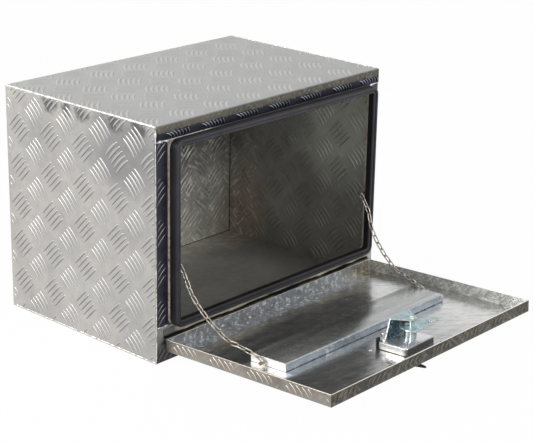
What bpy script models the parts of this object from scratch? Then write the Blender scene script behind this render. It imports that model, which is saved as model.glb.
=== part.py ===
"""Aluminium transport box with a drop-down door, two chains and a turning lock, in metres.
The box stands on its floor panel, the door opens towards -Y and X runs to the right.
Each piece is one object. Chain links are placed one after another from the box to the door."""

from math import atan2, cos, radians, sin, sqrt

import bmesh
import bpy
from mathutils import Vector

MM = 0.001

# Box
box_width = 620 * MM
box_depth = 410 * MM
box_height = 450 * MM
sheet = 2 * MM
fold_radius = 3 * MM
seat_gap = 0.3 * MM
hood_height = 28.2 * MM
flange_width = 29.2 * MM
upstand_height = 69.7 * MM

# Opening lip and seal
lip_inset = 29.5 * MM
lip_reach = 12.8 * MM
lip_corner = 15.5 * MM
seal_over = 1.5 * MM
seal_width = 13 * MM
seal_front = 24 * MM
seal_back = 6.5 * MM

# Hinge
axis_height = 47.2 * MM
axis_forward = 3.1 * MM
knuckle_radius = 2.2 * MM
pin_radius = 1.0 * MM
pin_play = 0.3 * MM
leaf_thickness = 1.0 * MM
leaf_height = 17 * MM
knuckle_count = 8
knuckle_play = 0.4 * MM

# Door
door_margin = 16 * MM
door_width = box_width - 2 * door_margin
door_length = 393.6 * MM
door_depth = 24 * MM
door_shift = 1.5 * MM
door_set = 2.6 * MM
door_tilt = radians(3)
floor_w = sheet - door_depth

# Stiffening channel
channel_margin = 62.5 * MM
channel_width = door_width - 2 * channel_margin
channel_from = 153 * MM
channel_across = 83.5 * MM
channel_rise = 16 * MM
channel_sheet = 1.5 * MM
channel_fold = 2.5 * MM

# Lock, placed from the door's free edge
lock_from_edge = 69.6 * MM
tray_v = door_length - lock_from_edge
tray_width = 87 * MM
tray_across = 66 * MM
tray_rise = 15 * MM
tray_sheet = 1.5 * MM
tray_corner = 7 * MM
tray_fold = 2.5 * MM
rim_width = 125 * MM
rim_across = 92 * MM
rim_corner = 9 * MM
gasket_thickness = 1.2 * MM
stop_thickness = 3 * MM
stop_height = 20 * MM
spindle_x = 10.5 * MM
spindle_back = 4 * MM
spindle_v = tray_v - spindle_back
spindle_radius = 5 * MM
turn_play = 0.3 * MM
plate = 2.5 * MM

# Latch cam, drawn along its tongue and across it as shares of its length
cam_w = 14.8 * MM
cam_length = 63 * MM
cam_turn = radians(22)
cam_shares = (
    (1.00, 0.09), (0.97, 0.115), (0.55, 0.15), (0.50, 0.20), (0.42, 0.33), (0.22, 0.50), (-0.10, 0.62),
    (-0.24, 0.52), (-0.32, 0.36), (-0.33, 0.16), (-0.28, -0.02), (-0.16, -0.18), (0.10, -0.24),
    (0.45, -0.20), (0.60, -0.13), (0.97, -0.115), (1.00, -0.09),
)

# Rod bracket, measured from the spindle
bracket_top = 31 * MM
bracket_low = floor_w + tray_rise + seat_gap
bracket_rear = 21 * MM
bracket_front = 13 * MM
bracket_roof_left = -28 * MM
bracket_foot_left = -43 * MM
bracket_right = 31 * MM
bracket_front_half = 9 * MM
rod_hole_radius = 2.2 * MM

# Handle
fold_w = -17 * MM
tang_half = 2.2 * MM
tang_play = 0.9 * MM
cheek = 3 * MM
grip_half = 4 * MM
handle_drop = 40 * MM
bar_half = 41 * MM
bar_radius = 5 * MM
tip_radius = 2.5 * MM
tip_end_radius = 1.75 * MM
hub_radius = 7.5 * MM
hub_rise = 7 * MM
key_radius = 3.5 * MM
key_slot_half = 2.45 * MM

# Chain
wire = 2.5 * MM
link_inner = 16.1 * MM
link_width = 10 * MM
link_play = 0.4 * MM
shank_radius = 2 * MM
head_radius = 3.5 * MM
head_thickness = 2.5 * MM
eye_height = 197 * MM
eye_forward = 2.5 * MM
eye_side = 47.2 * MM
eye_head_side = 49.6 * MM
screw_v = 188.25 * MM
screw_rise = 8 * MM
screw_reach = 4.1 * MM
link_head_reach = 12 * MM
link_beside_channel = 4.115 * MM
links_beside_seal = 3
slope_start_share = 0.03
slope_share = 0.125
link_angles = (-50, -55, -62, -70, -65, -54, -48, -44, -39, -36, -35, -25, -3, -12, -13, -13)

overrun = 4 * MM
round_steps = 4

front = -box_depth / 2
half_width = box_width / 2
axis_y = front - axis_forward

# Scene
for old in list(bpy.data.objects):
    bpy.data.objects.remove(old, do_unlink=True)

parts = bpy.data.collections.new("transport_box")
cutters = bpy.data.collections.new("cutters")
bpy.context.scene.collection.children.link(parts)
bpy.context.scene.collection.children.link(cutters)


def material(name, colour, roughness, metallic):
    made = bpy.data.materials.new(name)
    made.use_nodes = True
    shader = made.node_tree.nodes["Principled BSDF"]
    shader.inputs["Base Color"].default_value = (*colour, 1)
    shader.inputs["Roughness"].default_value = roughness
    shader.inputs["Metallic"].default_value = metallic
    return made


def tread_plate():
    return material("tread_plate", (0.62, 0.61, 0.59), 0.38, 1)


def plain_aluminium():
    return material("plain_aluminium", (0.66, 0.65, 0.63), 0.3, 1)


def black_rubber():
    return material("black_rubber", (0.02, 0.02, 0.024), 0.6, 0)


def zinc_plate():
    return material("zinc_plate", (0.55, 0.66, 0.68), 0.25, 1)


def pale_steel():
    return material("pale_steel", (0.78, 0.74, 0.68), 0.25, 1)


def black_lacquer():
    return material("black_lacquer", (0.015, 0.015, 0.015), 0.35, 0)


tread = tread_plate()
aluminium = plain_aluminium()
rubber = black_rubber()
zinc = zinc_plate()
steel = pale_steel()
lacquer = black_lacquer()


def frame_empty(name, place, tilt=0.0, parent=None):
    empty = bpy.data.objects.new(name, None)
    empty.location = place
    empty.rotation_euler = (tilt, 0, 0)
    empty.parent = parent
    parts.objects.link(empty)
    return empty


door_axis = frame_empty("door_axis", (0, axis_y, axis_height), -door_tilt)
turn_axis = frame_empty("turn_axis", (door_shift + spindle_x, -door_set - spindle_v, 0), 0, door_axis)
fold_axis = frame_empty("fold_axis", (0, 0, fold_w), 0, turn_axis)


# Solids made from outlines
def solid(name, points, faces, finish, parent=None, home=parts):
    mesh = bpy.data.meshes.new(name)
    built = bmesh.new()
    made = [built.verts.new(point) for point in points]
    for face in faces:
        built.faces.new([made[i] for i in face])
    bmesh.ops.recalc_face_normals(built, faces=built.faces)
    built.to_mesh(mesh)
    built.free()
    item = bpy.data.objects.new(name, mesh)
    item.parent = parent
    home.objects.link(item)
    if finish:
        mesh.materials.append(finish)
    return item


def prism(name, outline, low, high, axis, finish, parent=None, home=parts):
    """An outline pushed along X, Y or Z, its own two values filling the other two axes in order."""
    count = len(outline)
    points = []
    for along in (low, high):
        for a, b in outline:
            points.append({"x": (along, a, b), "y": (a, along, b), "z": (a, b, along)}[axis])
    sides = [(i, (i + 1) % count, (i + 1) % count + count, i + count) for i in range(count)]
    faces = [tuple(range(count)), tuple(range(2 * count - 1, count - 1, -1))] + sides
    return solid(name, points, faces, finish, parent, home)


def rectangle(left, right, low, high):
    return [(left, low), (right, low), (right, high), (left, high)]


def arc(centre_a, centre_b, radius, start, end, steps=round_steps):
    turns = [radians(start + (end - start) * i / steps) for i in range(steps + 1)]
    return [(centre_a + radius * cos(t), centre_b + radius * sin(t)) for t in turns]


def round_rectangle(left, right, low, high, corner, steps=round_steps):
    return (
        arc(right - corner, high - corner, corner, 0, 90, steps)
        + arc(left + corner, high - corner, corner, 90, 180, steps)
        + arc(left + corner, low + corner, corner, 180, 270, steps)
        + arc(right - corner, low + corner, corner, 270, 360, steps)
    )


def circle(centre_a, centre_b, radius, sides):
    return arc(centre_a, centre_b, radius, 0, 360, sides)[:-1]


def folded_angle(long_leg, short_leg, thickness, radius):
    """Section of a sheet folded square: the long leg along +a, the short leg along +b, from the outer corner."""
    inner = max(radius - thickness, thickness / 4)
    outside = arc(radius, radius, radius, 180, 270)
    inside = arc(thickness + inner, thickness + inner, inner, 270, 180)
    return outside + [(long_leg, 0), (long_leg, thickness)] + inside + [(thickness, short_leg), (0, short_leg)]


def modify(item, other, operation):
    change = item.modifiers.new(operation.lower(), "BOOLEAN")
    change.object = other
    change.operation = operation
    change.solver = "EXACT"
    other.hide_render = True
    other.display_type = "WIRE"
    for home in list(other.users_collection):
        home.objects.unlink(other)
    cutters.objects.link(other)


def round_edges(item, radius, chosen, steps=2):
    """Rounds the edges whose two end points both pass the test."""
    built = bmesh.new()
    built.from_mesh(item.data)
    edges = [edge for edge in built.edges if chosen(edge.verts[0].co, edge.verts[1].co)]
    bmesh.ops.bevel(built, geom=edges, offset=radius, segments=steps, profile=0.5, affect="EDGES")
    built.to_mesh(item.data)
    built.free()


# Box panels
def top_panel():
    section = [
        (front + a, box_height - b)
        for a, b in folded_angle(box_depth, hood_height, sheet, fold_radius)
    ]
    prism("top_panel", section, -half_width, half_width, "x", tread)


def bottom_panel():
    section = [(front + a, b) for a, b in folded_angle(box_depth, upstand_height, sheet, fold_radius)]
    prism("bottom_panel", section, -half_width, half_width, "x", tread)


def side_panel(name, side):
    low = sheet + seat_gap
    high = box_height - sheet - seat_gap
    outer, inner = side * half_width, side * (half_width - sheet)
    edge = front + sheet + seat_gap
    wall = prism(name, rectangle(edge, box_depth / 2, low, high), min(outer, inner), max(outer, inner), "x", tread)
    stub = folded_angle(lip_inset, flange_width, sheet, fold_radius)
    section = [(outer - side * b, front + a) for a, b in stub]
    flange_low = upstand_height + seat_gap
    flange_high = box_height - hood_height - seat_gap
    fold = prism(name + "_fold", section, flange_low, flange_high, "z", tread)
    modify(wall, fold, "UNION")


def back_panel():
    side = half_width - sheet - seat_gap
    low = sheet + seat_gap
    outline = rectangle(-side, side, low, box_height - low)
    prism("back_panel", outline, box_depth / 2 - sheet, box_depth / 2, "y", tread)


# Lip and seal: one section carried round the mouth
def mouth_frame(name, section, corner, finish):
    """section holds (inwards, y) pairs, measured from the lip's outer face."""
    left, right = -half_width + lip_inset, half_width - lip_inset
    low, high = upstand_height + seat_gap, box_height - hood_height - seat_gap
    centres = ((right, high, 0), (left, high, 90), (left, low, 180), (right, low, 270))
    points = []
    for x, z, turn in centres:
        x_in = x - corner if x > 0 else x + corner
        z_in = z - corner if z == high else z + corner
        for step in range(round_steps + 2):
            t = radians(turn + 90 * step / (round_steps + 1))
            for inwards, y in section:
                reach = corner - inwards
                points.append((x_in + reach * cos(t), y, z_in + reach * sin(t)))
    around = len(section)
    rings = len(points) // around
    faces = []
    for ring in range(rings):
        for i in range(around):
            a, b = ring * around, ((ring + 1) % rings) * around
            j = (i + 1) % around
            faces.append((a + i, a + j, b + j, b + i))
    return solid(name, points, faces, finish)


def opening_lip():
    back = front + sheet
    lip = mouth_frame("opening_lip", [(0, back), (sheet, back), (sheet, front - lip_reach), (0, front - lip_reach)],
                      lip_corner, aluminium)
    hole = circle(front - eye_forward, eye_height, shank_radius + turn_play, 12)
    bore = prism("eye_bores", hole, -half_width, half_width, "x", None)
    modify(lip, bore, "DIFFERENCE")


def lip_seal():
    near = front - seal_back
    tip = front - seal_front
    slot_end = front - lip_reach - seat_gap
    clip = seal_width / 2
    bulb = clip / 2
    outer = -seal_over
    inner = seal_width - seal_over
    valley = inner - clip
    lip_edge = tip + bulb / 2
    section = [
        (outer, near), (-seat_gap, near), (-seat_gap, slot_end), (sheet + seat_gap, slot_end),
        (sheet + seat_gap, near), (inner - bulb, near), (inner, near - bulb), (inner, tip + bulb),
        (inner - bulb / 2, lip_edge), (valley + bulb / 2, lip_edge), (valley, lip_edge + seat_gap),
        (valley - seal_over / 2, tip), (outer + seal_over, tip), (outer, tip + seal_over),
    ]
    mouth_frame("lip_seal", section, lip_corner, rubber)


# Hinge, its knuckles taking turns between the box leaf and the door leaf
def knuckles(owner):
    pitch = door_width / knuckle_count
    start = door_shift - door_width / 2
    return [
        (start + i * pitch + knuckle_play / 2, start + (i + 1) * pitch - knuckle_play / 2)
        for i in range(knuckle_count) if i % 2 == owner
    ]


def hinge_leaf(name, owner, strip, centre, parent):
    left, right = door_shift - door_width / 2, door_shift + door_width / 2
    leaf = prism(name, strip, left, right, "x", aluminium, parent)
    for start, end in knuckles(1 - owner):
        room = circle(*centre, knuckle_radius + knuckle_play, 14)
        gap = prism(name + "_room", room, start - knuckle_play, end + knuckle_play, "x", None, parent)
        modify(leaf, gap, "DIFFERENCE")
    for start, end in knuckles(owner):
        barrel = prism(name + "_barrel", circle(*centre, knuckle_radius, 14), start, end, "x", aluminium, parent)
        modify(leaf, barrel, "UNION")
    bore = circle(*centre, pin_radius + pin_play, 12)
    eye = prism(name + "_eye", bore, left - overrun, right + overrun, "x", None, parent)
    modify(leaf, eye, "DIFFERENCE")


def hinge():
    rear = front - seat_gap
    strip = rectangle(rear - leaf_thickness, rear, axis_height, axis_height + leaf_height)
    hinge_leaf("hinge_leaf_box", 0, strip, (axis_y, axis_height), None)
    face = -door_set + seat_gap
    strip = rectangle(face, face + leaf_thickness, -leaf_height, 0)
    hinge_leaf("hinge_leaf_door", 1, strip, (0, 0), door_axis)
    pin = circle(axis_y, axis_height, pin_radius, 12)
    prism("hinge_pin", pin, door_shift - door_width / 2, door_shift + door_width / 2, "x", steel)


# Door pieces are drawn in the door's own frame: y = -(set + v), z = w
def v_to_y(v):
    return -door_set - v


def door_block(name, x_span, v_span, w_span, finish, home=parts):
    outline = rectangle(x_span[0], x_span[1], v_to_y(v_span[1]), v_to_y(v_span[0]))
    return prism(name, outline, w_span[0], w_span[1], "z", finish, door_axis, home)


def door_pan():
    left, right = door_shift - door_width / 2, door_shift + door_width / 2
    pan = door_block("door_pan", (left, right), (0, door_length), (-door_depth, 0), tread)
    round_edges(pan, sheet, lambda a, b: a.z < floor_w and b.z < floor_w)
    room = door_block("pan_room", (left + sheet, right - sheet), (sheet, door_length - sheet),
                      (floor_w, overrun), None)
    modify(pan, room, "DIFFERENCE")
    across, along = tray_width / 2 + seat_gap, tray_across / 2 + seat_gap
    outline = round_rectangle(door_shift - across, door_shift + across, v_to_y(tray_v + along),
                              v_to_y(tray_v - along), tray_corner)
    window = prism("lock_window", outline, -door_depth - overrun, floor_w + overrun, "z", None, door_axis)
    modify(pan, window, "DIFFERENCE")


def door_channel():
    left, right = door_shift - channel_width / 2, door_shift + channel_width / 2
    low, top = floor_w + seat_gap, floor_w + channel_rise
    far = channel_from + channel_across
    channel = door_block("door_channel", (left, right), (channel_from, far), (low, top), aluminium)
    round_edges(channel, channel_fold, lambda a, b: a.z > floor_w + channel_fold and b.z > floor_w + channel_fold)
    skin = channel_sheet
    room = door_block("channel_room", (left + skin, right - skin), (channel_from + skin, far - skin),
                      (low - overrun, top - skin), None)
    modify(channel, room, "DIFFERENCE")
    hole = circle(v_to_y(screw_v), floor_w + screw_rise, shank_radius + turn_play, 12)
    bore = prism("channel_bores", hole, left - overrun, right + overrun, "x", None, door_axis)
    modify(channel, bore, "DIFFERENCE")


def tray_outline(grow):
    across, along = tray_width / 2 + grow, tray_across / 2 + grow
    return round_rectangle(door_shift - across, door_shift + across, v_to_y(tray_v) - along,
                           v_to_y(tray_v) + along, tray_corner + grow)


def rim_outline(grow):
    across, along = rim_width / 2 + grow, rim_across / 2 + grow
    return round_rectangle(door_shift - across, door_shift + across, v_to_y(tray_v) - along,
                           v_to_y(tray_v) + along, rim_corner + grow)


def lock_dish():
    rim_top = -door_depth - gasket_thickness - 2 * seat_gap
    rim_low = rim_top - tray_sheet
    top = floor_w + tray_rise
    dish = prism("lock_dish", tray_outline(0), rim_low, top, "z", aluminium, door_axis)
    round_edges(dish, tray_fold, lambda a, b: a.z > floor_w and b.z > floor_w)
    rim = prism("dish_rim", rim_outline(0), rim_low, rim_top, "z", aluminium, door_axis)
    modify(dish, rim, "UNION")
    room = prism("dish_room", tray_outline(-tray_sheet), rim_low - overrun, top - tray_sheet, "z", None, door_axis)
    modify(dish, room, "DIFFERENCE")
    hole = circle(door_shift + spindle_x, v_to_y(spindle_v), spindle_radius + turn_play, 20)
    bore = prism("spindle_bore", hole, floor_w, top + overrun, "z", None, door_axis)
    modify(dish, bore, "DIFFERENCE")


def dish_gasket():
    top = -door_depth - seat_gap
    gasket = prism("dish_gasket", rim_outline(-seat_gap), top - gasket_thickness, top, "z", rubber, door_axis)
    window = prism("gasket_window", tray_outline(seat_gap), top - gasket_thickness - overrun, top + overrun,
                   "z", None, door_axis)
    modify(gasket, window, "DIFFERENCE")


def rubber_stop():
    """The black strip that stands on the door floor at the tray's rear left corner."""
    left = door_shift - tray_width / 2
    rear = tray_v - tray_across / 2 - seat_gap
    door_block("rubber_stop", (left, left + tray_corner + stop_thickness), (rear - stop_thickness, rear),
               (floor_w + seat_gap, floor_w + stop_height), rubber)


# Turning lock pieces, drawn about the spindle: x to the right, y towards the hinge, z = w
def spindle():
    tray_top = floor_w + tray_rise
    collar_top = tray_top - tray_sheet - turn_play
    collar_low = collar_top - plate
    nut_top = cam_w + plate + 2 * turn_play + 2 * plate
    shaft = prism("lock_spindle", circle(0, 0, spindle_radius, 20), collar_low, nut_top + turn_play, "z",
                  steel, turn_axis)
    collar = prism("spindle_collar", circle(0, 0, 2 * spindle_radius, 24), collar_low, collar_top, "z",
                   steel, turn_axis)
    modify(shaft, collar, "UNION")
    low = fold_w - tang_half - cheek
    tang = prism("spindle_tang", rectangle(-spindle_radius, spindle_radius, -tang_half, tang_half), low,
                 collar_low + turn_play, "z", steel, turn_axis)
    modify(shaft, tang, "UNION")
    hole = circle(0, fold_w, pin_radius + tang_play, 12)
    eye = prism("tang_eye", hole, -spindle_radius, spindle_radius, "y", None, turn_axis)
    modify(shaft, eye, "DIFFERENCE")


def spacer_sleeve():
    low = floor_w + tray_rise + seat_gap
    sleeve = prism("spacer_sleeve", circle(0, 0, spindle_radius + plate, 20), low, cam_w - seat_gap, "z",
                   zinc, turn_axis)
    hole = circle(0, 0, spindle_radius + turn_play, 20)
    bore = prism("sleeve_bore", hole, low - overrun, cam_w + overrun, "z", None, turn_axis)
    modify(sleeve, bore, "DIFFERENCE")


def spindle_nut():
    low = cam_w + plate + turn_play
    nut = prism("spindle_nut", circle(0, 0, 2 * spindle_radius - turn_play, 6), low, low + 2 * plate, "z",
                zinc, turn_axis)
    bore = prism("nut_bore", circle(0, 0, spindle_radius + turn_play, 20), low - overrun,
                 low + 2 * plate + overrun, "z", None, turn_axis)
    modify(nut, bore, "DIFFERENCE")


def latch_cam():
    """A sector plate with a tongue that points right, turned a little towards the door's free edge."""
    outline = []
    for along, across in cam_shares:
        a, b = along * cam_length, across * cam_length
        x = a * cos(cam_turn) - b * sin(cam_turn)
        v = a * sin(cam_turn) + b * cos(cam_turn)
        outline.append((x, -v))
    cam = prism("latch_cam", outline, cam_w, cam_w + plate, "z", zinc, turn_axis)
    hole = circle(0, 0, spindle_radius + turn_play, 20)
    bore = prism("cam_bore", hole, cam_w - overrun, cam_w + plate + overrun, "z", None, turn_axis)
    modify(cam, bore, "DIFFERENCE")
    half = bracket_front_half + turn_play
    slot = rectangle(-half, half, -bracket_front - turn_play, -bracket_front + plate + turn_play)
    window = prism("cam_slot", slot, cam_w - overrun, cam_w + plate + overrun, "z", None, turn_axis)
    modify(cam, window, "DIFFERENCE")


def rod_bracket():
    """A bridge of bent strip: a wide rear wall, a roof that narrows forwards and a narrow front leg."""
    half = bracket_front_half
    roof = [
        (bracket_roof_left, bracket_rear), (-half, -bracket_front),
        (half, -bracket_front), (bracket_right, bracket_rear),
    ]
    bridge = prism("rod_bracket", roof, bracket_top - plate, bracket_top, "z", zinc, turn_axis)
    wall = [
        (bracket_foot_left, bracket_low), (bracket_right, bracket_low),
        (bracket_right, bracket_top), (bracket_roof_left, bracket_top),
    ]
    rear = prism("bracket_wall", wall, bracket_rear - plate, bracket_rear, "y", zinc, turn_axis)
    modify(bridge, rear, "UNION")
    leg = prism("bracket_leg", rectangle(-half, half, bracket_low, bracket_top), -bracket_front,
                plate - bracket_front, "y", zinc, turn_axis)
    modify(bridge, leg, "UNION")
    high = bracket_top - 2 * plate
    rod = prism("rod_hole", circle(0, high, rod_hole_radius, 12), -bracket_front - overrun,
                plate - bracket_front + overrun, "y", None, turn_axis)
    modify(bridge, rod, "DIFFERENCE")
    top = prism("roof_hole", circle(0, 0, rod_hole_radius, 12), bracket_top - 2 * plate,
                bracket_top + overrun, "z", None, turn_axis)
    modify(bridge, top, "DIFFERENCE")


# Handle pieces, drawn about the fold pin: the bar runs towards the free edge
def handle_bar(name):
    """A bar along y that tapers to both ends, from rings of eight points."""
    stations = (-1.0, -0.93, -0.45, 0.45, 0.93, 1.0)
    radii = (tip_end_radius, tip_radius, bar_radius, bar_radius, tip_radius, tip_end_radius)
    points, faces = [], []
    for share, radius in zip(stations, radii):
        for a, b in circle(0, -handle_drop, radius, 8):
            points.append((a, share * bar_half, b))
    for ring in range(len(stations) - 1):
        for i in range(8):
            j = (i + 1) % 8
            faces.append((ring * 8 + i, ring * 8 + j, ring * 8 + 8 + j, ring * 8 + 8 + i))
    last = 8 * (len(stations) - 1)
    faces.append(tuple(range(7, -1, -1)))
    faces.append(tuple(range(last, last + 8)))
    return solid(name, points, faces, lacquer, fold_axis)


def t_handle():
    handle = handle_bar("t_handle")
    inner = tang_half + seat_gap
    outer = inner + cheek
    web = -tang_half - cheek - spindle_radius + seat_gap
    half = grip_half
    neck = prism("handle_neck", rectangle(-half, half, -outer, outer), -handle_drop, web, "z", lacquer, fold_axis)
    modify(handle, neck, "UNION")
    for side in (-1, 1):
        low, high = sorted((side * inner, side * outer))
        ear = [(-half, web - cheek), (half, web - cheek)] + arc(0, 0, half, 0, 180)
        arm = prism("handle_arm", ear, low, high, "y", lacquer, fold_axis)
        modify(handle, arm, "UNION")
    pin = prism("fold_pin", circle(0, 0, pin_radius + pin_play, 12), -outer + seat_gap, outer - seat_gap, "y",
                lacquer, fold_axis)
    modify(handle, pin, "UNION")
    hub = prism("handle_hub", circle(0, 0, hub_radius, 20), -handle_drop - bar_radius,
                hub_rise - handle_drop, "z", lacquer, fold_axis)
    modify(handle, hub, "UNION")
    bore = prism("key_bore", circle(0, 0, key_radius + turn_play, 16), -handle_drop - bar_radius - overrun,
                 -handle_drop + tip_radius, "z", None, fold_axis)
    modify(handle, bore, "DIFFERENCE")


def key_cylinder():
    low = -handle_drop - bar_radius
    core = prism("key_cylinder", circle(0, 0, key_radius, 16), low, -handle_drop + tip_radius - turn_play, "z",
                 steel, fold_axis)
    slot = prism("key_slot", rectangle(-turn_play, turn_play, -key_slot_half, key_slot_half), low - overrun,
                 low + key_radius, "z", None, fold_axis)
    modify(core, slot, "DIFFERENCE")


# Chains
def link_curve(name, axis, across, centre):
    """A closed loop of wire: axis is the long way, across the short way."""
    radius = (link_width - wire) / 2
    straight = (link_inner + wire) / 2 - radius
    steps = 5
    loop = arc(straight, 0, radius, -90, 90, steps) + arc(-straight, 0, radius, 90, 270, steps)
    curve = bpy.data.curves.new(name, "CURVE")
    curve.dimensions = "3D"
    curve.bevel_depth = wire / 2
    curve.bevel_resolution = 2
    curve.resolution_u = 1
    line = curve.splines.new("POLY")
    line.points.add(len(loop) - 1)
    for point, (a, b) in zip(line.points, loop):
        point.co = (*(centre + axis * a + across * b), 1)
    line.use_cyclic_u = True
    item = bpy.data.objects.new(name, curve)
    parts.objects.link(item)
    curve.materials.append(steel)
    return item


def set_origin(item, place):
    """Moves the object's origin to its joint without moving its wire."""
    for spline in item.data.splines:
        for point in spline.points:
            point.co = (*(point.co.xyz - place), 1)
    item.location = place


def door_to_world(x, v, w):
    y = v_to_y(v)
    tilt = -door_tilt
    return Vector((x, axis_y + y * cos(tilt) - w * sin(tilt), axis_height + y * sin(tilt) + w * cos(tilt)))


def link_axes(angle, slope):
    """Long way, sideways and upright directions of a link that points down its chain."""
    flat = sqrt(1 - slope * slope)
    axis = Vector((slope, -cos(angle) * flat, sin(angle) * flat))
    side = Vector((flat, slope * cos(angle), -slope * sin(angle)))
    upright = axis.cross(side)
    return axis, side, upright


def chain_ends(side):
    start = Vector((side * (half_width - eye_side), front - eye_forward, eye_height))
    screw_x = door_shift + side * (channel_width / 2 + link_beside_channel)
    return start, door_to_world(screw_x, screw_v, floor_w + screw_rise)


def chain_steps():
    half = link_inner - wire - 2 * link_play
    whole = link_inner + wire
    first = link_inner - shank_radius - wire / 2 - 2 * link_play
    return [first if i == 0 else (half if i % 2 == 0 else whole) for i in range(len(link_angles))]


def slopes():
    return [slope_start_share if i < links_beside_seal else slope_share for i in range(len(link_angles))]


def chain_run():
    return sum(step * slope for step, slope in zip(chain_steps(), slopes())) + chain_steps()[0] * slope_share


def chain(name, side):
    start, screw = chain_ends(side)
    slope_scale = side * (start.x - screw.x) / chain_run()
    pivot = start
    loop_half = (link_inner + wire) / 2
    for i, (step, slope, angle) in enumerate(zip(chain_steps(), slopes(), link_angles)):
        lean = -side * slope * slope_scale
        axis, across, upright = link_axes(radians(angle), lean)
        reach_back = 0 if i % 2 else (wire + link_play)
        if i == 0:
            reach_back = shank_radius + link_play + wire / 2
        centre = pivot + axis * (loop_half - reach_back)
        item = link_curve(f"{name}_link_{i + 1:02d}", axis, across if i % 2 else upright, centre)
        set_origin(item, pivot)
        pivot = pivot + axis * step
    angle = atan2(screw.z - pivot.z, pivot.y - screw.y)
    axis, across, upright = link_axes(angle, (screw.x - pivot.x) / (screw - pivot).length)
    centre = screw + axis * (shank_radius + link_play + wire / 2 - loop_half)
    item = link_curve(f"{name}_link_{len(link_angles) + 1:02d}", axis, upright, centre)
    set_origin(item, screw)


def chain_screw(name, start, end, head_at_end, centre, parent):
    low, high = min(start, end), max(start, end)
    shank = prism(name, circle(*centre, shank_radius, 12), low, high, "x", steel, parent)
    way = 1 if end > start else -1
    cap_start = end if head_at_end else start
    cap = sorted((cap_start, cap_start + (way if head_at_end else -way) * head_thickness))
    head = prism(name + "_head", circle(*centre, head_radius, 14), cap[0] - seat_gap, cap[1], "x", steel, parent)
    modify(shank, head, "UNION")


def chain_screws():
    for name, side in (("left", -1), ("right", 1)):
        outer = side * (half_width - lip_inset - seat_gap)
        inner = side * (half_width - eye_head_side)
        chain_screw(f"{name}_eye_screw", outer, inner, True, (front - eye_forward, eye_height), None)
        face = door_shift + side * channel_width / 2
        inside = face - side * screw_reach
        outside = face + side * link_head_reach
        centre = (v_to_y(screw_v), floor_w + screw_rise)
        chain_screw(f"{name}_door_screw", inside, outside, True, centre, door_axis)


top_panel()
bottom_panel()
side_panel("left_panel", -1)
side_panel("right_panel", 1)
back_panel()
opening_lip()
lip_seal()
hinge()
door_pan()
door_channel()
lock_dish()
dish_gasket()
rubber_stop()
spindle()
spacer_sleeve()
spindle_nut()
latch_cam()
rod_bracket()
t_handle()
key_cylinder()
chain_screws()
chain("left", -1)
chain("right", 1)
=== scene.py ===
"""Looks of an aluminium transport box with its door let down on two chains.
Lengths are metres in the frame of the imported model: +Z up, the door opens towards -Y."""

from math import cos, pi, radians, sin

import bmesh
import bpy
from mathutils import Matrix, Vector
from mathutils.noise import noise as noise_of


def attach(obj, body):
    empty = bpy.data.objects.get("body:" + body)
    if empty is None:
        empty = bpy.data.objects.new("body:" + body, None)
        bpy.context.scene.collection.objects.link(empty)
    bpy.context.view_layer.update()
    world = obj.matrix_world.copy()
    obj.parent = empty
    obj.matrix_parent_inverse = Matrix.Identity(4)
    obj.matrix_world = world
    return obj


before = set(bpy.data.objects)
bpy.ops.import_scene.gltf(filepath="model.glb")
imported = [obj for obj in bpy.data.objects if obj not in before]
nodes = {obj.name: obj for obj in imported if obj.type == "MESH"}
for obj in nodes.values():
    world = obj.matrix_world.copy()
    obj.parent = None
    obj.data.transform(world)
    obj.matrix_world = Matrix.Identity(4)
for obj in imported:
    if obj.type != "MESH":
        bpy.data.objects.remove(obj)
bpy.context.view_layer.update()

# The camera stands at the left in front of the box, a little above it, and looks down 19 degrees.
# It is turned 48 degrees from square on, with a long lens, and leans one degree.
camera_place = (-2.1165, -2.0980, 1.1959)
camera_right = Vector((0.67438693, -0.73816707, 0.01765352))
camera_up = Vector((0.23323101, 0.23564171, 0.94343854))
camera_back = camera_right.cross(camera_up)
camera = bpy.data.objects.new("camera", bpy.data.cameras.new("camera"))
camera.data.sensor_width = 36
camera.data.lens = 105.85
camera_turn = Matrix((camera_right, camera_up, camera_back)).transposed().to_4x4()
camera.matrix_world = Matrix.Translation(camera_place) @ camera_turn
bpy.context.scene.collection.objects.link(camera)
bpy.context.scene.camera = camera

# Pale studio floor and white surround, a large soft lamp high at the back left for the top and the
# left side, and a weaker one at the front right.
bpy.context.scene.view_settings.view_transform = "Standard"


def add(tree, kind, inputs=None, **settings):
    """Adds a shader node; an input is a value or the output that feeds it."""
    made = tree.nodes.new("ShaderNode" + kind)
    for key, value in settings.items():
        setattr(made, key, value)
    for socket, value in (inputs or {}).items():
        if isinstance(value, bpy.types.NodeSocket):
            tree.links.new(value, made.inputs[socket])
        else:
            made.inputs[socket].default_value = value
    return made


def math(tree, operation, *values, clamp=False):
    """Joins the values by one operation, from left to right."""
    total = values[0]
    for value in values[1:]:
        total = add(tree, "Math", {0: total, 1: value}, operation=operation, use_clamp=clamp).outputs[0]
    return total


def seen_white(tree):
    """1 for what the camera, a mirror or glass sees, 0 for light that falls on things."""
    rays = add(tree, "LightPath").outputs
    return math(tree, "MAXIMUM", rays["Is Camera Ray"], rays["Is Glossy Ray"], rays["Is Transmission Ray"])


def blank_material(name):
    made = bpy.data.materials.new(name)
    made.use_nodes = True
    made.node_tree.nodes.clear()
    return made, made.node_tree


world = bpy.data.worlds.new("studio")
bpy.context.scene.world = world
world.use_nodes = True
tree = world.node_tree
tree.nodes.clear()
fill = add(tree, "Background", {"Color": (0.97, 0.98, 1, 1), "Strength": 0.42})
white = add(tree, "Background", {"Color": (1, 1, 1, 1), "Strength": 1})
both = add(tree, "MixShader", {0: seen_white(tree), 1: fill.outputs[0], 2: white.outputs[0]})
add(tree, "OutputWorld", {0: both.outputs[0]})

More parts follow.
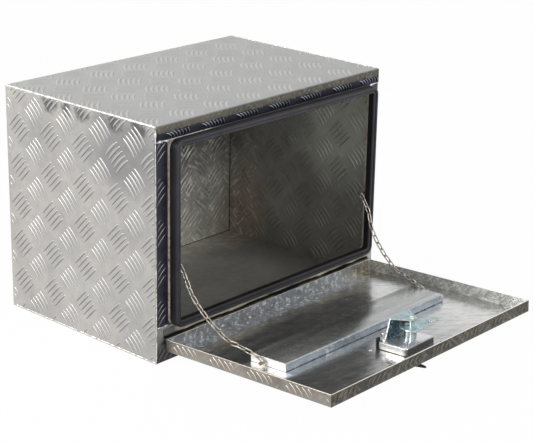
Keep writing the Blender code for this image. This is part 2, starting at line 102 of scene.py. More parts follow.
floor_reach, floor_white = 40, 0.975
floor_mesh = bpy.data.meshes.new("floor")
floor_corners = [(x * floor_reach, y * floor_reach, 0) for x, y in ((-1, -1), (1, -1), (1, 1), (-1, 1))]
floor_mesh.from_pydata(floor_corners, [], [(0, 1, 2, 3)])
floor = bpy.data.objects.new("floor", floor_mesh)
bpy.context.scene.collection.objects.link(floor)
floor_paint, tree = blank_material("floor_paint")
lit = add(tree, "BsdfDiffuse", {"Color": (0.86, 0.86, 0.86, 1)})
bright = add(tree, "Emission", {"Color": (1, 1, 1, 1), "Strength": 1})
share = math(tree, "MULTIPLY", seen_white(tree), floor_white)
both = add(tree, "MixShader", {0: share, 1: lit.outputs[0], 2: bright.outputs[0]})
add(tree, "OutputMaterial", {0: both.outputs[0]})
floor_mesh.materials.append(floor_paint)


def lamp(name, place, target, size, power, colour):
    light = bpy.data.lights.new(name, "AREA")
    light.shape = "RECTANGLE"
    light.size, light.size_y = size
    light.energy = power
    light.color = colour
    item = bpy.data.objects.new(name, light)
    item.location = place
    item.rotation_euler = (Vector(target) - Vector(place)).to_track_quat("-Z", "Y").to_euler()
    bpy.context.scene.collection.objects.link(item)


lamp("key_softbox", (-3.4, 1.6, 2.6), (0, 0, 0.2), (2.4, 2.4), 150, (1, 0.985, 0.96))
lamp("front_softbox", (0.7, -3.6, 1.5), (0, -0.2, 0.2), (1.8, 1.8), 60, (0.96, 0.98, 1))

# Tread plate: 2 mm mill finish aluminium sheet, folded and welded into the box. Its inner faces are duller
# and marked by handling, with painted light and painted shade on them. The faces towards the front are
# painted in shade, darkest on the strip under the hood's fold line.
half_width, front, height, depth = 0.31, -0.205, 0.45, 0.41
sheet_thick = 0.002
skin = sheet_thick / 2
sharp = 0.0004


def shader_group(name, inputs, make):
    """A node group with these inputs. make adds its nodes and gives its outputs by name."""
    tree = bpy.data.node_groups.new(name, "ShaderNodeTree")
    for label, value in inputs.items():
        kind = "NodeSocketVector" if isinstance(value, tuple) else "NodeSocketFloat"
        tree.interface.new_socket(label, in_out="INPUT", socket_type=kind).default_value = value
    results = make(tree, tree.nodes.new("NodeGroupInput").outputs)
    for label in results:
        tree.interface.new_socket(label, in_out="OUTPUT", socket_type="NodeSocketFloat")
    end = tree.nodes.new("NodeGroupOutput")
    for label, value in results.items():
        tree.links.new(value, end.inputs[label])
    return tree


def group_in(tree, group, values):
    return add(tree, "Group", values, node_tree=group).outputs


def times(tree, *values, clamp=False):
    return math(tree, "MULTIPLY", *values, clamp=clamp)


def plus(tree, *values, clamp=False):
    return math(tree, "ADD", *values, clamp=clamp)


def less(tree, a, b):
    return math(tree, "SUBTRACT", a, b)


def opposite(tree, mask):
    return less(tree, 1, mask)


def surface_point(tree):
    return add(tree, "TexCoord").outputs["Object"]


def split(tree, vector=None):
    """X, Y and Z of the surface point, or of another vector that is given."""
    return add(tree, "SeparateXYZ", {0: vector or surface_point(tree)}).outputs


def ramp(tree, value, start, end, **settings):
    """0 at the start of a range and 1 at its end."""
    return add(tree, "MapRange", {"Value": value, "From Min": start, "From Max": end}, **settings).outputs[0]


def noise(tree, scale, detail=3.0, stretch=(1, 1, 1), place=None):
    """Noise over the surface, or at another place that is given."""
    at = add(tree, "Mapping", {"Vector": place or surface_point(tree), "Scale": stretch}).outputs[0]
    return add(tree, "TexNoise", {"Vector": at, "Scale": scale, "Detail": detail}).outputs[0]


def rolled_sheet(tree, given):
    """Cloudy tone, fine rolling lines and slow dents."""
    cloud = noise(tree, given["Cloud scale"], 4)
    smudge = noise(tree, 60, 3)
    lines = noise(tree, given["Line scale"], 2, (0.12, 1, 1))
    dents = noise(tree, given["Dent scale"], 1)
    return {"Tone": plus(tree, times(tree, cloud, 0.55), times(tree, smudge, 0.3), times(tree, lines, 0.15)),
            "Roughness": plus(tree, times(tree, smudge, 0.6), times(tree, lines, 0.4)),
            "Height": plus(tree, dents, times(tree, lines, 0.02))}


mill_finish = shader_group("mill_finish", {"Cloud scale": 8, "Dent scale": 14, "Line scale": 240},
                           rolled_sheet)


def milled(tree, clouds=8, dents=14, lines=240):
    """The sheet's tone from 0 to 1, its roughness and its height."""
    mill = group_in(tree, mill_finish, {"Cloud scale": clouds, "Dent scale": dents, "Line scale": lines})
    return spread(tree, mill["Tone"]), mill["Roughness"], mill["Height"]


def ragged_patch(tree, given):
    """1 at a patch's middle and 0 outside it, with a ragged edge."""
    place = surface_point(tree)
    moved = add(tree, "VectorMath", {0: place, 1: given["Centre"]}, operation="SUBTRACT").outputs[0]
    scaled = add(tree, "VectorMath", {0: moved, 1: given["Size"]}, operation="DIVIDE").outputs[0]
    away = add(tree, "VectorMath", {0: scaled}, operation="LENGTH").outputs["Value"]
    rough = times(tree, less(tree, noise(tree, given["Grain"], 4), 0.5), given["Ragged"])
    return {"Mask": ramp(tree, plus(tree, away, rough), 1.0, 0.45)}


soft_patch = shader_group("soft_patch", {"Centre": (0, 0, 0), "Size": (1, 1, 1), "Ragged": 0.8, "Grain": 30},
                          ragged_patch)


def patch(tree, centre, size, ragged, grain):
    """The mask of a stain: where it is, its half sizes, and how ragged and fine its edge is."""
    values = {"Centre": centre, "Size": size, "Ragged": ragged, "Grain": grain}
    return group_in(tree, soft_patch, values)["Mask"]


def colour_mix(tree, share, a, b):
    return add(tree, "Mix", {0: share, 6: a, 7: b}, data_type="RGBA").outputs[2]


def tint(tree, colour, mask, shade, share=1):
    """Lays a shade over a colour where the mask is, by no more than the share."""
    return colour_mix(tree, mask if share == 1 else times(tree, mask, share), colour, shade)


def number_mix(tree, share, a, b):
    return add(tree, "Mix", {0: share, 2: a, 3: b}, data_type="FLOAT").outputs[0]


def rgb(red, green, blue):
    """A screen colour from 0 to 255 as the linear colour that shows it."""
    return (*(((v / 255 + 0.055) / 1.055) ** 2.4 for v in (red, green, blue)), 1)


def spread(tree, value, low=0, high=1):
    """Stretches a noise value so that it runs from low to high."""
    reach = {"Value": value, "From Min": 0.3, "From Max": 0.7, "To Min": low, "To Max": high}
    return add(tree, "MapRange", reach).outputs[0]


def finish_material(tree, colour, roughness, height, bump, bump_reach, **constants):
    raised = add(tree, "Bump", {"Strength": bump, "Distance": bump_reach, "Height": height}).outputs[0]
    settings = {"Base Color": colour, "Roughness": roughness, "Normal": raised, **constants}
    shader = add(tree, "BsdfPrincipled", settings)
    add(tree, "OutputMaterial", {0: shader.outputs[0]})


def step(tree, value, edge, width=sharp):
    """0 below the edge, 1 above it."""
    return ramp(tree, value, edge - width, edge + width)


def facing(tree, axis, sign):
    """How far the surface faces along an axis, from 0 to 1."""
    normal = split(tree, add(tree, "TexCoord").outputs["Normal"])
    return times(tree, normal[axis], sign, clamp=True)


def facing_front(tree):
    return facing(tree, "Y", -1)


def band(tree, value, low, high, width=sharp):
    """1 between two edges, 0 outside them."""
    return times(tree, step(tree, value, low, width), opposite(tree, step(tree, value, high, width)))


def crossed_strokes(tree, given):
    """Short strokes at 45 degrees both ways, in ragged areas: handling marks on dull sheet, and in some
    places painted highlights.
    """
    place = split(tree)
    level = plus(tree, place["X"], place["Y"])
    rising, falling = plus(tree, level, place["Z"]), less(tree, level, place["Z"])
    away = less(tree, place["X"], place["Y"])
    strokes = []
    for a, b in ((rising, times(tree, falling, 0.16)), (times(tree, rising, 0.16), falling)):
        at = add(tree, "CombineXYZ", {0: a, 1: b, 2: times(tree, away, 0.2)}).outputs[0]
        strokes.append(noise(tree, given["Scale"], 3, place=at))
    choice = step(tree, noise(tree, 24, 1), 0.5, 0.02)
    return {"Mask": ramp(tree, number_mix(tree, choice, *strokes), given["Low"], given["High"])}


scuff_and_sheen_strokes = shader_group("scuff_and_sheen_strokes", {"Scale": 150, "Low": 0.5, "High": 0.72}, crossed_strokes)


def scuffs_and_sheen(tree, scale=150, low=0.5, high=0.72):
    return group_in(tree, scuff_and_sheen_strokes, {"Scale": scale, "Low": low, "High": high})["Mask"]


lit_wall = (half_width, -0.11, 0.33)
joint_right, joint_back, joint_low = 0.3066, 0.2015, 0.0036


def inside_colour(tree, tone):
    """The box's inner faces: dull olive grey, with painted light beside the mouth and low on the back wall,
    painted shade high on the back, brown low down in the back corner, dark joints, and light scuff marks that
    show most where the painted light is."""
    place = split(tree)
    colour = colour_mix(tree, tone, rgb(138, 137, 133), rgb(180, 178, 171))
    # Painted light beside the mouth.
    pale = patch(tree, lit_wall, (0.1, 0.15, 0.16), 0.9, 9)
    colour = tint(tree, colour, pale, rgb(214, 219, 205), 0.85)
    # Painted light low on the back wall.
    corner = patch(tree, (0.22, 0.203, 0.10), (0.26, 0.1, 0.27), 1.0, 12)
    colour = tint(tree, colour, corner, rgb(226, 220, 208), 0.4)
    # Painted shade high on the back wall.
    painted_shade_high = patch(tree, (0.15, 0.203, 0.36), (0.36, 0.1, 0.24), 0.8, 10)
    colour = tint(tree, colour, painted_shade_high, rgb(80, 79, 76), 0.85)
    brown = patch(tree, (half_width, 0.15, 0.07), (0.1, 0.07, 0.12), 0.9, 20)
    colour = tint(tree, colour, brown, rgb(176, 138, 118), 0.4)
    # How far the painted light reaches, which sets how much the light scuff marks show.
    worn = plus(tree, corner, plus(tree, times(tree, pale, 0.35), 0.08))
    colour = tint(tree, colour, times(tree, scuffs_and_sheen(tree), worn, clamp=True), rgb(250, 248, 236))
    below = opposite(tree, step(tree, place["Z"], joint_low))
    edges = math(tree, "MAXIMUM", step(tree, place["X"], joint_right), below)
    return tint(tree, colour, times(tree, step(tree, place["Y"], joint_back), edges), rgb(40, 38, 36), 0.8)


# Heights on the front: where the painted shadow on the upstand's foot ends, and where the upstand, the
# flanges, the strip in painted shade and the hood's face meet.
foot_shade, upstand_top, flange_top, strip_top = 0.036, 0.071, 0.4216, 0.4358


def side_colour(tree, tone):
    """The outer sides: clouded, here and there warm, with a darker painted reflection high towards the front,
    and dark blots under the top edge.
    """
    side = colour_mix(tree, tone, rgb(164, 163, 162), rgb(200, 198, 195))
    for scale, detail, shade, share in ((42, 4, rgb(134, 134, 136), 0.3), (11, 3, rgb(208, 199, 188), 0.35)):
        side = tint(tree, side, spread(tree, noise(tree, scale, detail)), shade, share)
    # A darker painted reflection, high on the left side towards the front.
    smudge = patch(tree, (-half_width, -0.125, 0.385), (0.2, 0.11, 0.095), 0.7, 11)
    side = tint(tree, side, smudge, rgb(124, 125, 130), 0.65)
    for y, reach in ((0.077, 0.024), (-0.012, 0.022), (-0.095, 0.028), (0.03, 0.016), (-0.16, 0.022)):
        blot = patch(tree, (-half_width, y, 0.436), (0.1, reach, 0.019), 1.6, 70)
        side = tint(tree, side, blot, rgb(86, 87, 91), 0.85)
    return side


def front_colour_in_painted_shade(tree, tone, z):
    """The front's faces, darkened as painted shade: scratched hood and upstand, darker flanges, the darkest
    strip with its ragged upper edge, and a painted shadow at the upstand's foot.
    """
    scratch = scuffs_and_sheen(tree)
    hood = colour_mix(tree, tone, rgb(64, 62, 56), rgb(98, 95, 86))
    hood = tint(tree, hood, scratch, rgb(136, 132, 122), 0.5)
    strip = colour_mix(tree, tone, rgb(24, 24, 34), rgb(44, 44, 56))
    flange = colour_mix(tree, tone, rgb(42, 43, 54), rgb(70, 70, 78))
    upstand = colour_mix(tree, tone, rgb(136, 136, 132), rgb(184, 182, 176))
    upstand = tint(tree, upstand, scratch, rgb(190, 190, 186), 0.4)
    upstand = colour_mix(tree, step(tree, z, foot_shade, 0.012), rgb(44, 44, 45), upstand)
    waver = less(tree, noise(tree, 150, 4), 0.5)
    ragged = plus(tree, z, times(tree, waver, 0.012))
    colour = colour_mix(tree, step(tree, ragged, strip_top, 0.0006), strip, hood)
    colour = colour_mix(tree, step(tree, z, flange_top), flange, colour)
    return colour_mix(tree, step(tree, z, upstand_top, 0.001), upstand, colour)


def box_plate():
    """The finish of all five panels. The top is flatter and duller than the sides, which are crinkled."""
    made, tree = blank_material("box_plate")
    place = split(tree)
    tone, roughness, height_map = milled(tree)
    inside = times(tree, *(band(tree, place[axis], low + skin, high - skin) for axis, low, high in (
        ("X", -half_width, half_width), ("Y", front, -front), ("Z", 0, height))))
    upward = facing(tree, "Z", 1)
    top = colour_mix(tree, tone, rgb(176, 176, 175), rgb(190, 190, 189))
    outer = colour_mix(tree, upward, side_colour(tree, tone), top)
    # Faces towards the front take the front's colours, darkened as painted shade.
    outer = tint(tree, outer, facing_front(tree), front_colour_in_painted_shade(tree, tone, place["Z"]))
    colour = colour_mix(tree, inside, outer, inside_colour(tree, tone))
    metal = number_mix(tree, upward, number_mix(tree, inside, 0.7, 0.25), 0.25)
    rough = number_mix(tree, upward, spread(tree, roughness, 0.34, 0.48), spread(tree, roughness, 0.56, 0.68))
    crinkle = noise(tree, 170, 4)
    crinkle = times(tree, crinkle, less(tree, 0.3, times(tree, upward, 0.25)))
    finish_material(tree, colour, rough, plus(tree, height_map, crinkle),
                    bump=0.25, bump_reach=0.004, Metallic=metal)
    return made


def dress(node, finish, bevel):
    """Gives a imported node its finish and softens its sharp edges."""
    item = nodes[node]
    item.data.materials.clear()
    item.data.materials.append(finish)
    if "custom_normal" in item.data.attributes:
        item.data.attributes.remove(item.data.attributes["custom_normal"])
    item.data.polygons.foreach_set("use_smooth", [True] * len(item.data.polygons))
    weld = item.modifiers.new("weld", "WELD")
    weld.merge_threshold = 0.00001
    if bevel:
        soft = item.modifiers.new("soft_edges", "BEVEL")
        soft.width = bevel
        soft.segments = 2
        soft.limit_method = "ANGLE"
        soft.angle_limit = radians(40)
        soft.harden_normals = True


plate = box_plate()
for panel in ("top_panel", "bottom_panel", "left_panel", "right_panel", "back_panel"):
    dress(panel, plate, 0.0005)

# Raised bars of the tread pattern, rolled into the plate: groups of five lens-shaped bars at 45 degrees, each
# group standing across its neighbours. Their upper flanks get a painted highlight, their lower ones painted
# shade.
bar_length, bar_width, bar_rise = 0.045, 0.0070, 0.0012
bar_gap, bar_bow = 0.0098, 0.09
bars_in_group = 5
group_pitch = (0.091, 0.0775)
bar_marks = ("flank", "falling")
highlight_flank, shade_flank = (0.38, 0.98), (-1.05, -0.55)


def clipped(centre, way, half, low, high):
    """The part of a bar's centre line that lies inside a face, as its two ends along the bar."""
    start, end = -half, half
    for axis in (0, 1):
        a = (low[axis] - centre[axis]) / way[axis]
        b = (high[axis] - centre[axis]) / way[axis]
        start, end = max(start, min(a, b)), min(end, max(a, b))
    return start, end


def tread_bars(name, body, finish, corner, right, up, size, first, pitch=group_pitch, holes=()):
    """Bars over one flat face. The corner, right and up place it, first is the middle of one group."""
    corner, right, up = Vector(corner), Vector(right), Vector(up)
    face = corner, right, up, right.cross(up)
    built, layers = bars_begun()
    half, margin = bar_length / 2, bar_width / 2
    low, high = (margin, margin), (size[0] - margin, size[1] - margin)
    columns = range(-1 - int(first[0] / pitch[0]), int(size[0] / pitch[0]) + 2)
    rows = range(-1 - int(first[1] / pitch[1]), int(size[1] / pitch[1]) + 2)
    for turn in (1, -1):
        shift = 0 if turn == 1 else 0.5
        way = (cos(pi / 4), turn * sin(pi / 4))
        aside = (-way[1], way[0])
        for column in columns:
            for row in rows:
                middle = (first[0] + (column + shift) * pitch[0], first[1] + (row + shift) * pitch[1])
                for k in range(bars_in_group):
                    move = (k - (bars_in_group - 1) / 2) * bar_gap
                    centre = (middle[0] + aside[0] * move, middle[1] + aside[1] * move)
                    start, end = clipped(centre, way, half, low, high)
                    if end - start < bar_width:
                        continue
                    at = (centre[0] + way[0] * (start + end) / 2, centre[1] + way[1] * (start + end) / 2)
                    if any(h[0] < at[0] < h[2] and h[1] < at[1] < h[3] for h in holes):
                        continue
                    one_bar(built, layers, face, at, way, aside, (end - start) / 2, turn < 0)
    new_piece(name, body, finish, built)


def new_piece(name, body, finish, built):
    mesh = bpy.data.meshes.new(name)
    built.to_mesh(mesh)
    built.free()
    mesh.polygons.foreach_set("use_smooth", [True] * len(mesh.polygons))
    mesh.materials.append(finish)
    item = bpy.data.objects.new(name, mesh)
    bpy.context.scene.collection.objects.link(item)
    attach(item, body)
    return item


def bars_begun():
    built = bmesh.new()
    return built, [built.verts.layers.float.new(label) for label in bar_marks]


def one_bar(built, layers, face, at, way, aside, half, falling, wide=bar_width):
    """A lens-shaped bar with blunt ends, its feet just under the sheet's face. Each of its points keeps
    how far across the bar it is, and whether the bar's group falls to the right."""
    corner, right, up, out = face
    wide = wide / 2 * min(1, (2 * half / bar_length) ** 0.5)
    rings = []
    for along, breadth, rise in ((-1, 0.15, 0.1), (-0.82, 0.55, 0.6), (-0.42, 0.9, 0.95), (0, 1, 1),
                                 (0.42, 0.9, 0.95), (0.82, 0.55, 0.6), (1, 0.15, 0.1)):
        ring = []
        for across, high in ((-1, -0.08), (-0.5, 0.75), (0, 1), (0.5, 0.75), (1, -0.08)):
            off = across * breadth * wide + bar_bow * half * (1 - along ** 2)
            s = at[0] + way[0] * along * half + aside[0] * off
            t = at[1] + way[1] * along * half + aside[1] * off
            lift = bar_rise * (rise * high if high > 0 else high)
            vertex = built.verts.new(corner + right * s + up * t + out * lift)
            vertex[layers[0]], vertex[layers[1]] = across, falling
            ring.append(vertex)
        rings.append(ring)
    for a, b in zip(rings, rings[1:]):
        for i in range(4):
            built.faces.new((a[i], b[i], b[i + 1], a[i + 1]))
        built.faces.new((a[4], b[4], b[0], a[0]))
    built.faces.new(rings[0])
    built.faces.new(rings[-1][::-1])


def bar_finish(name, ground, bright, dark, shine, shade, metallic=0.75, roughness=0.34):
    """Ground colour as the sheet, a painted highlight on the upper flank and painted shade on the lower one.
    The shares of the painted highlight (shine) and of the painted shade are for the groups that rise to the
    right and for those that fall to it."""
    made, tree = blank_material(name)
    flank, falling = (add(tree, "Attribute", attribute_name=label).outputs["Fac"] for label in bar_marks)
    mill = group_in(tree, mill_finish, {"Cloud scale": 12})
    worn = spread(tree, mill["Tone"], 0.6, 1.0)
    # Painted highlight on the upper flank and painted shade on the lower one.
    upper = times(tree, band(tree, flank, *highlight_flank, 0.2), worn)
    lower = times(tree, band(tree, flank, *shade_flank, 0.2), worn)
    colour = tint(tree, ground, upper, bright, number_mix(tree, falling, *shine))
    colour = tint(tree, colour, lower, dark, number_mix(tree, falling, *shade))
    finish_material(tree, colour, spread(tree, mill["Roughness"], roughness - 0.05, roughness + 0.08),
                    mill["Height"], bump=0.1, bump_reach=0.001, Metallic=metallic)
    return made


side_bars = bar_finish("side_bars", rgb(176, 175, 173), rgb(232, 230, 227), rgb(112, 110, 108), (0.5, 0.8),
                       (0.7, 0.5), roughness=0.4)
top_finish = bar_finish("top_bars", rgb(184, 184, 183), rgb(206, 206, 205), rgb(164, 164, 162), (0.6, 0.9),
                        (0.4, 0.6), roughness=0.6)
# The bars on the flanges and the upstand are dark as painted shade on the front.
flange_bars = bar_finish("flange_bars", rgb(48, 48, 58), rgb(156, 156, 160), rgb(26, 26, 34), (0.7, 0.7),
                         (0.6, 0.6))
upstand_finish = bar_finish("upstand_bars", rgb(70, 69, 66), rgb(128, 126, 120), rgb(34, 34, 34), (0.7, 0.7),
                            (0.6, 0.6))
hood_low, hood_fold, flange_low, flange_wide = 0.4218, 0.4352, 0.0697, 0.0292
hood_pitch = (0.0875, 0.0775)
side_face, upstand_face = (depth, height), (2 * half_width, 0.044)
flange_face = (flange_wide, hood_low - flange_low)
to_right, to_left, to_front, to_back, to_top = (1, 0, 0), (-1, 0, 0), (0, -1, 0), (0, 1, 0), (0, 0, 1)
for name, finish, corner, right, up, size, first, pitch in (
    ("left_bars", side_bars, (-half_width, -front, 0), to_front, to_top, side_face, (0.037, 0.063),
     group_pitch),
    ("right_bars", side_bars, (half_width, front, 0), to_back, to_top, side_face, (0.045, 0.063),
     group_pitch),
    ("back_bars", side_bars, (half_width, -front, 0), to_left, to_top, (2 * half_width, height), (0.03, 0.03),
     group_pitch),
    ("top_bars", top_finish, (-half_width, front, height), to_right, to_back, (2 * half_width, depth),
     (0.0135, 0.034), hood_pitch),
    ("left_flange_bars", flange_bars, (-half_width, front, flange_low), to_right, to_top, flange_face,
     (0.004, 0.030), group_pitch),
    ("right_flange_bars", flange_bars, (half_width - flange_wide, front, flange_low), to_right, to_top,
     flange_face, (0.02, 0.030), group_pitch),
    ("upstand_bars", upstand_finish, (-half_width, front, 0), to_right, to_top, upstand_face, (0.02, 0.020),
     group_pitch),
):
    tread_bars(name, "box", finish, corner, right, up, size, first, pitch)

# The pattern also shows, faintly, on the inner faces of the right and back panels. The left one, which is
# hidden, gets the same. Their bars get a painted highlight and painted shade on their flanks, strongest in
# the painted light beside the mouth.


def inner_finish():
    made, tree = blank_material("inner_bars")
    flank = add(tree, "Attribute", attribute_name="flank").outputs["Fac"]
    tone, roughness, height_map = milled(tree)
    colour = inside_colour(tree, tone)
    # How far the painted light reaches: most beside the mouth, a little on the back wall.
    painted_light_reach = plus(tree, times(tree, patch(tree, lit_wall, (0.1, 0.17, 0.17), 0.8, 14), 0.8),
                times(tree, patch(tree, (0.2, 0.203, 0.2), (0.24, 0.1, 0.24), 0.8, 14), 0.2), clamp=True)
    painted_light_reach = plus(tree, painted_light_reach, 0.03, clamp=True)
    # Painted highlight and painted shade on the bar flanks, as far as the painted light reaches.
    for low, high, shade in ((0.3, 0.98, rgb(250, 250, 240)), (-1.05, -0.4, rgb(118, 118, 111))):
        colour = tint(tree, colour, band(tree, flank, low, high, 0.2), shade, painted_light_reach)
    finish_material(tree, colour, spread(tree, roughness, 0.3, 0.45), height_map,
                    bump=0.2, bump_reach=0.003, Metallic=0.3)
    return made


inner_bars = inner_finish()
inner_right, inner_back, inner_low, inner_height = 0.308, 0.203, 0.002, 0.444
for name, corner, right, wide, first in (
    ("inner_left_bars", (-inner_right, -inner_back, inner_low), to_back, 2 * inner_back, (0.05, 0.06)),
    ("inner_right_bars", (inner_right, inner_back, inner_low), to_front, 2 * inner_back, (0.04, 0.06)),
    ("inner_back_bars", (-inner_right, inner_back, inner_low), to_right, 2 * inner_right, (0.03, 0.06)),
):
    tread_bars(name, "box", inner_bars, corner, right, to_top, (wide, inner_height), first)

# The hood's front shows one pressed half: bars painted dark as shade above, and below the fold line, on the
# strip in painted shade, groups of short bars with bright painted glints that lean more and more upright
# within each group.
hood_finish = bar_finish("hood_bars", rgb(96, 92, 84), rgb(124, 120, 110), rgb(70, 67, 62), (0.8, 0.8),
                         (0.6, 0.6))
tread_bars("hood_bars", "box", hood_finish, (-half_width, front, hood_fold), to_right, to_top,
           (2 * half_width, height - hood_fold), (0.052, 0.004), hood_pitch)
strip_finish = bar_finish("strip_bars", rgb(50, 52, 66), rgb(214, 222, 238), rgb(20, 20, 30), (1, 1),
                          (0.8, 0.8))
strip_face = [Vector(part) for part in ((-half_width, front, hood_low), to_right, to_top, to_front)]
strip_high = hood_fold - hood_low
group_reach, strip_bar_pitch, strip_bar_wide, longest_half = 0.052, 0.0080, 0.0105, 0.0085
first_lean, lean_step, end_margin = 34, 6.5, 0.006
built, strip_layers = bars_begun()
for start in (0.033, 0.122, 0.211, 0.300, 0.389, 0.483, 0.566):
    for k in range(int(group_reach / strip_bar_pitch) + 1):
        lean = radians(first_lean + lean_step * k)
        half = min(longest_half, 0.42 * strip_high / sin(lean))
        at = (min(start + k * strip_bar_pitch, 2 * half_width - end_margin), strip_high * 0.52)
        one_bar(built, strip_layers, strip_face, at, (cos(lean), -sin(lean)), (sin(lean), cos(lean)), half, 1,
                strip_bar_wide)
new_piece("hood_strip_bars", "box", strip_finish, built)

# Seams: the box's corners are welded and ground, which leaves lumpy bright lines on the edges, and short
# rough beads close the hood's ends and the flanges' feet. A thin bright bead along the hood's lower edge is a
# painted highlight in the same finish.


def circle(count):
    return [2 * pi * k / count for k in range(count)]


def skinned(built, rings):
    """Faces from ring to ring and over both ends."""
    for a, b in zip(rings, rings[1:]):
        for k in range(len(a)):
            following = (k + 1) % len(a)
            built.faces.new((a[k], a[following], b[following], b[k]))
    built.faces.new(rings[0][::-1])
    built.faces.new(rings[-1])


bead_pitch, bead_sides, end_share = 0.004, 8, 0.35
swell_scale, dent_scale = 180, 260


def bead(name, body, finish, points, radius, lump):
    """A lumpy round bead along a broken line, thinner at both ends."""
    built = bmesh.new()
    points = [Vector(point) for point in points]
    stations, rings = [], []
    for a, b in zip(points, points[1:]):
        count = max(1, round((b - a).length / bead_pitch))
        stations += [a.lerp(b, i / count) for i in range(count + (b is points[-1]))]
    for i, place in enumerate(stations):
        ahead = stations[min(i + 1, len(stations) - 1)] - stations[max(i - 1, 0)]
        side = ahead.orthogonal().normalized()
        other = ahead.normalized().cross(side)
        swell = radius * (1 + lump * 2 * noise_of(place * swell_scale))
        if i in (0, len(stations) - 1):
            swell *= end_share
        rings.append([])
        for t in circle(bead_sides):
            dent = 1 + 0.5 * lump * noise_of(place * dent_scale + Vector((t, 0, 0)))
            rings[-1].append(built.verts.new(place + (side * cos(t) + other * sin(t)) * swell * dent))
    skinned(built, rings)
    new_piece(name, body, finish, built)


def stained(name, low, high, stain, roughness, bump, bump_reach, grain=None, **constants):
    """Stains between two colours, roughness that goes with them, and a surface raised by them or by a
    finer grain. A stain and a grain are given by scale, detail and stretch."""
    made, tree = blank_material(name)
    stains = noise(tree, *stain)
    raised = noise(tree, *grain) if grain else stains
    colour = colour_mix(tree, spread(tree, stains), low, high)
    finish_material(tree, colour, spread(tree, stains, *roughness), raised, bump, bump_reach, **constants)
    return made


bright_weld_and_highlight, rough_weld = (
    stained(name, low, high, (160, 3), (0.22, 0.42), bump=0.5, bump_reach=0.001, Metallic=0.6)
    for name, low, high in (("bright_weld_and_highlight", rgb(206, 203, 196), rgb(255, 254, 250)),
                            ("rough_weld", rgb(110, 112, 124), rgb(250, 251, 255))))
for name, finish, points, radius, lump in (
    ("left_top_seam", bright_weld_and_highlight, ((-0.3095, 0.204, 0.4494), (-0.3095, -0.2045, 0.4494)), 0.0020, 0.25),
    ("left_front_seam", bright_weld_and_highlight, ((-0.3093, -0.2043, 0.449), (-0.3093, -0.2043, 0.419)), 0.0017, 0.5),
    ("left_front_edge", bright_weld_and_highlight, ((-0.3096, -0.2046, 0.419), (-0.3096, -0.2046, 0.0022)), 0.0006, 0.5),
    ("left_foot_seam", bright_weld_and_highlight, ((-0.3096, 0.2, 0.0024), (-0.3096, -0.2045, 0.0024)), 0.0011, 0.6),
    ("right_top_seam", bright_weld_and_highlight, ((0.3095, 0.204, 0.4494), (0.3095, -0.2045, 0.4494)), 0.0014, 0.4),
    ("back_top_seam", bright_weld_and_highlight, ((-0.309, 0.2045, 0.4494), (0.309, 0.2045, 0.4494)), 0.0008, 0.4),
    ("hood_end_weld_left", rough_weld, ((-0.309, -0.2052, 0.4208), (-0.297, -0.2056, 0.4216),
                                        (-0.281, -0.2056, 0.4204), (-0.2795, -0.2062, 0.414)), 0.0025, 0.6),
    ("hood_end_weld_right", rough_weld, ((0.309, -0.2052, 0.4208), (0.297, -0.2056, 0.4216),
                                         (0.281, -0.2056, 0.4204)), 0.0017, 0.6),
    ("flange_foot_weld_left", rough_weld, ((-0.309, -0.2052, 0.0712), (-0.296, -0.2056, 0.0706),
                                           (-0.281, -0.2052, 0.0716)), 0.0013, 0.6),
    ("flange_foot_weld_right", rough_weld, ((0.309, -0.2052, 0.0712), (0.296, -0.2056, 0.0706),
                                            (0.281, -0.2052, 0.0716)), 0.0013, 0.6),
    # A painted highlight along the hood's lower edge, in the bright weld's finish.
    ("hood_lip_highlight", bright_weld_and_highlight, ((-0.2785, -0.2056, 0.4214), (-0.165, -0.2056, 0.4214)), 0.0006, 0.5),
):
    bead(name, "box", finish, points, radius, lump)

# Door: a shallow folded tray of the same tread plate, its smooth side up when it lies open. Its floor
# mirrors the box, with painted reflections added, and its corners are welded.
door_tilt = radians(3)
door_axis = Vector((0, -0.2081, 0.0472))
door_left, door_right = -0.2925, 0.2955
door_length, door_depth, door_set = 0.3936, 0.024, 0.0026
low_edge, floor_w = -door_depth, sheet_thick - door_depth
along_x = Vector((1, 0, 0))
along_v = Vector((0, -cos(door_tilt), sin(door_tilt)))
along_w = Vector((0, sin(door_tilt), cos(door_tilt)))


def door_point(x, v, w):
    """A point of the open door: x to the right, v from the hinge to the free edge, w out of its face."""
    return door_axis + along_x * x + along_v * (v + door_set) + along_w * w


def door_coordinates(tree):
    """The same x, v and w of the surface, for masks."""
    moved = add(tree, "VectorMath", {0: surface_point(tree), 1: door_axis}, operation="SUBTRACT").outputs[0]
    return [add(tree, "VectorMath", {0: moved, 1: way}, operation="DOT_PRODUCT").outputs["Value"]
            for way in (along_x, along_v, along_w)]


